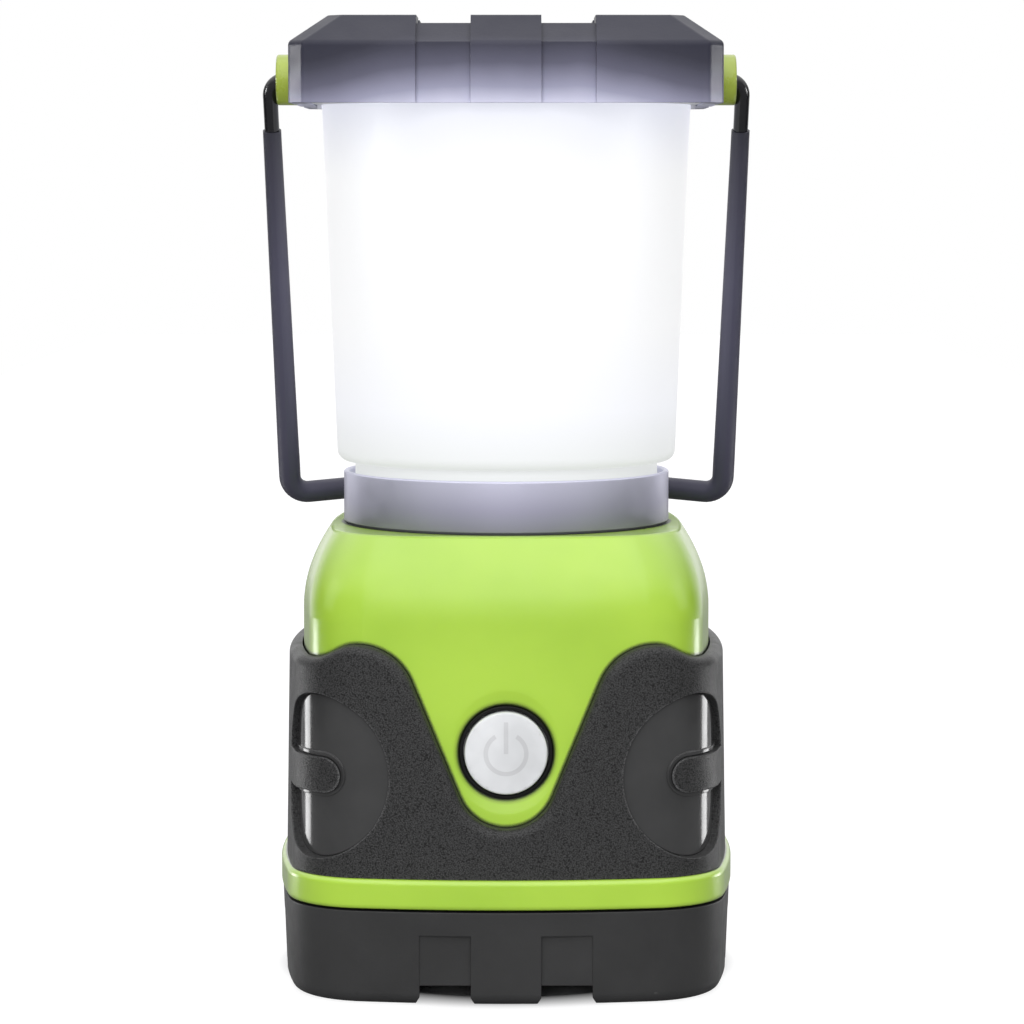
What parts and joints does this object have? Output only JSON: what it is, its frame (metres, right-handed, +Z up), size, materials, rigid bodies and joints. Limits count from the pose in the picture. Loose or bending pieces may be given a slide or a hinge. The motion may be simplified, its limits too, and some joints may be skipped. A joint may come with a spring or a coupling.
{
  "type": "camping lantern",
  "caption": "Battery camping lantern with a frosted globe, square cap, swinging bail, rubber bumper, push button and twist-off base.",
  "frame": {"origin": "centre of the base outline on the ground plane", "axes": "+Z up, -Y towards the front with the push button, +X to the right seen from the front"},
  "size_m": [0.0978, 0.0908, 0.1899],
  "materials": {
    "green_plastic": "gloss",
    "black_rubber": "matte",
    "black_rubber_grip": "matte",
    "black_plastic": "satin",
    "grey_plastic": "satin",
    "silver_plastic": "satin",
    "white_plastic": "satin",
    "grey_print": "satin",
    "frosted_globe": "frosted",
    "black_wire": "gloss black lacquer",
    "steel": "bright",
    "brass": "bright",
    "aluminium": "plain",
    "circuit_board": "satin",
    "white_board": "satin",
    "led_phosphor": "satin",
    "cell_wrap": "gloss"
  },
  "bodies": {
    "body": {"body_shell": "green_plastic", "bumper": "black_rubber", "corner_panel_front_left": "black_plastic", "corner_panel_front_right": "black_plastic", "corner_panel_back_left": "black_plastic", "corner_panel_back_right": "black_plastic", "cell_1": "cell_wrap", "cell_2": "cell_wrap", "cell_3": "cell_wrap", "battery_tray": "black_plastic", "tray_lid": "black_plastic", "cell_contacts": "steel", "cell_springs": "steel", "supply_pins": "brass", "driver_board": "circuit_board", "driver_components": "black_plastic", "driver_screws": "steel", "heat_sink": "aluminium", "led_board": "white_board", "led_chips": "led_phosphor", "led_leads": "brass", "button_bezel": "black_plastic", "tact_switch": "steel", "switch_board": "circuit_board", "switch_screws": "steel", "switch_leads": "brass", "collar": "silver_plastic", "collar_screws": "steel"},
    "globe_ring": {"globe_seal": "black_rubber"},
    "top": {"globe": "frosted_globe", "cap_shell": "grey_plastic", "cap_plate": "white_plastic", "cap_screws": "steel", "cap_reflector": "white_plastic", "saddle_left": "black_plastic", "saddle_right": "black_plastic"},
    "handle": {"handle_wire": "black_wire", "handle_grip": "black_rubber_grip", "knob_left": "green_plastic", "knob_right": "green_plastic", "push_nuts": "steel"},
    "button": {"button_cap": "white_plastic", "power_symbol": "grey_print", "switch_plunger": "black_plastic"},
    "base": {"base_cup": "black_plastic", "hook_pin": "steel"},
    "hook": {"hanging_hook": "steel"}
  },
  "joints": [
    {"name": "handle_swing", "type": "hinge", "parent": "top", "child": "handle", "pos_m": [0, 0, 0.1783], "axis": [1, 0, 0], "range_deg": [0, 312]},
    {"name": "button_press", "type": "slide", "parent": "body", "child": "button", "axis": [0, 1, 0], "range_m": [0, 0.0012], "stiffness_N_per_m": 900, "springref_m": -0.0006},
    {"name": "globe_twist", "type": "hinge", "parent": "body", "child": "globe_ring", "pos_m": [0, 0, 0.0932], "axis": [0, 0, 1], "range_deg": [0, 60]},
    {"name": "globe_lift", "type": "slide", "parent": "globe_ring", "child": "top", "axis": [0, 0, 1], "range_m": [0, 0.0041]},
    {"name": "base_twist", "type": "hinge", "parent": "body", "child": "base", "pos_m": [0, 0, 0.0182], "axis": [0, 0, -1], "range_deg": [0, 40]},
    {"name": "hook_fold", "type": "hinge", "parent": "base", "child": "hook", "pos_m": [0.003, 0.014, 0.0021], "axis": [1, 0, 0], "range_deg": [0, 90]}
  ],
  "couplings": [
    {"joint": "globe_lift", "follows": "globe_twist", "m_per_rad": 0.0038197}
  ]
}
